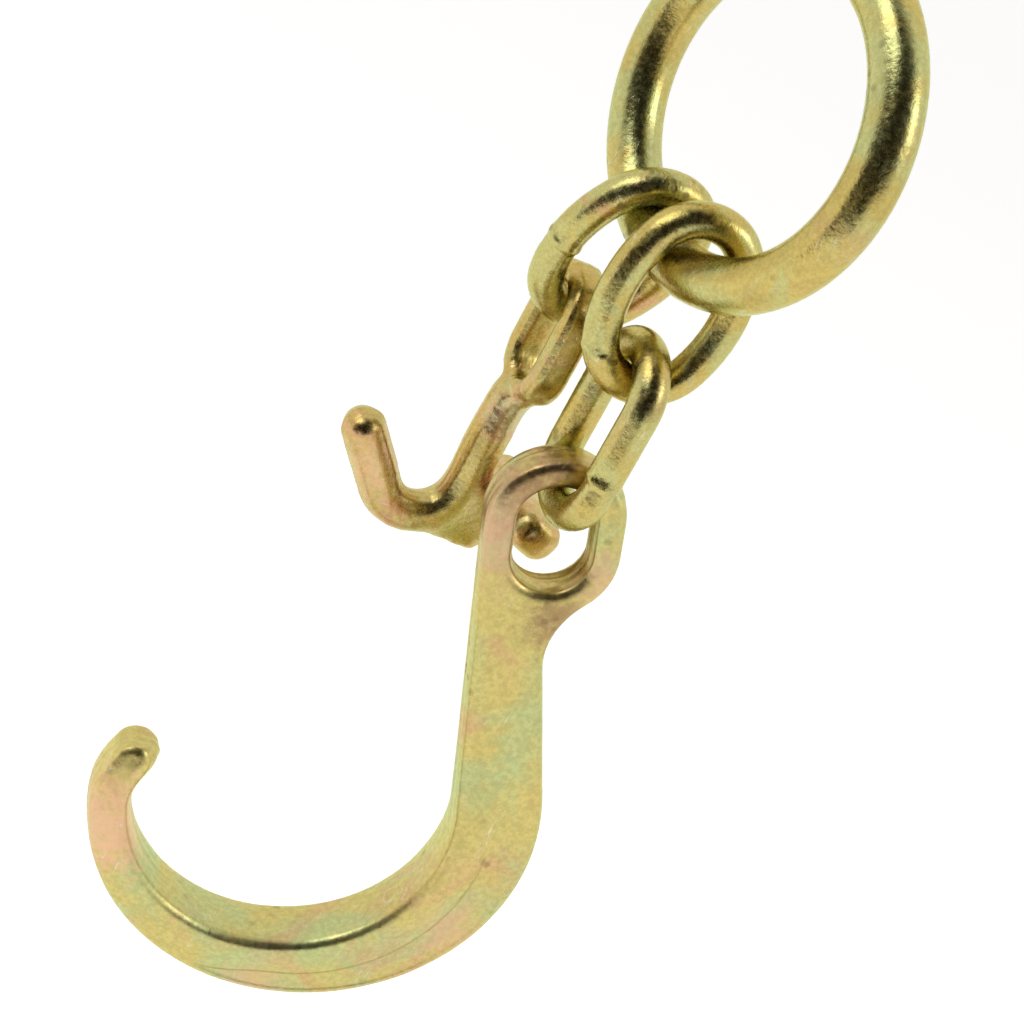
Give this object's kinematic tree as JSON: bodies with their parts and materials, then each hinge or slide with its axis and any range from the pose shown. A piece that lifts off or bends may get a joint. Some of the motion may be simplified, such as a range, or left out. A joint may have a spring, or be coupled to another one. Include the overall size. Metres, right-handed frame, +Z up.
{
  "type": "tow hook cluster",
  "caption": "Steel ring carrying two short chains of oval links, one ending in a large J hook and the other in a small forging with a round R finger and a T crossbar.",
  "frame": {"origin": "centre of the ring, which stands upright as it hangs from a hand or a hook", "axes": "+Z up, the J hook lies in a plane of constant Y with its mouth towards -X, and the R and T hook hangs behind it at +Y"},
  "size_m": [0.1126, 0.0825, 0.3018],
  "materials": {
    "plated_ring": "yellow zinc plate, satin",
    "plated_link": "yellow zinc plate, satin with darker speckle",
    "plated_forging": "yellow zinc plate over a forged skin"
  },
  "bodies": {
    "ring": {"ring": "plated_ring"},
    "front_coupling_link": {"front_coupling_link": "plated_link"},
    "rear_coupling_link": {"rear_coupling_link": "plated_link"},
    "chain_link": {"chain_link": "plated_link"},
    "j_hook": {"j_hook": "plated_forging"},
    "rt_hook": {"rt_hook": "plated_forging"}
  },
  "joints": [
    {"name": "front_chain_swing", "type": "hinge", "parent": "ring", "child": "front_coupling_link", "pos_m": [0.00258, -0.00537, -0.03763], "axis": [-0.4268, 0.8907, -0.1564], "range_deg": [-5, 50]},
    {"name": "chain_link_swing", "type": "hinge", "parent": "front_coupling_link", "child": "chain_link", "pos_m": [0.00258, -0.00537, -0.06703], "axis": [0.9995, 0.0332, 0], "range_deg": [-40, 3]},
    {"name": "j_hook_swing", "type": "hinge", "parent": "chain_link", "child": "j_hook", "pos_m": [0.00258, -0.00537, -0.10093], "axis": [0, 1, 0], "range_deg": [-60, 70]},
    {"name": "rear_chain_swing", "type": "hinge", "parent": "ring", "child": "rear_coupling_link", "pos_m": [-0.00563, 0.01175, -0.0358], "axis": [-0.406, 0.8474, 0.342], "range_deg": [-50, 5]},
    {"name": "rt_hook_swing", "type": "hinge", "parent": "rear_coupling_link", "child": "rt_hook", "pos_m": [-0.01023, 0.02135, -0.06505], "axis": [0.9781, 0.1866, -0.0926], "range_deg": [-3, 50]}
  ]
}
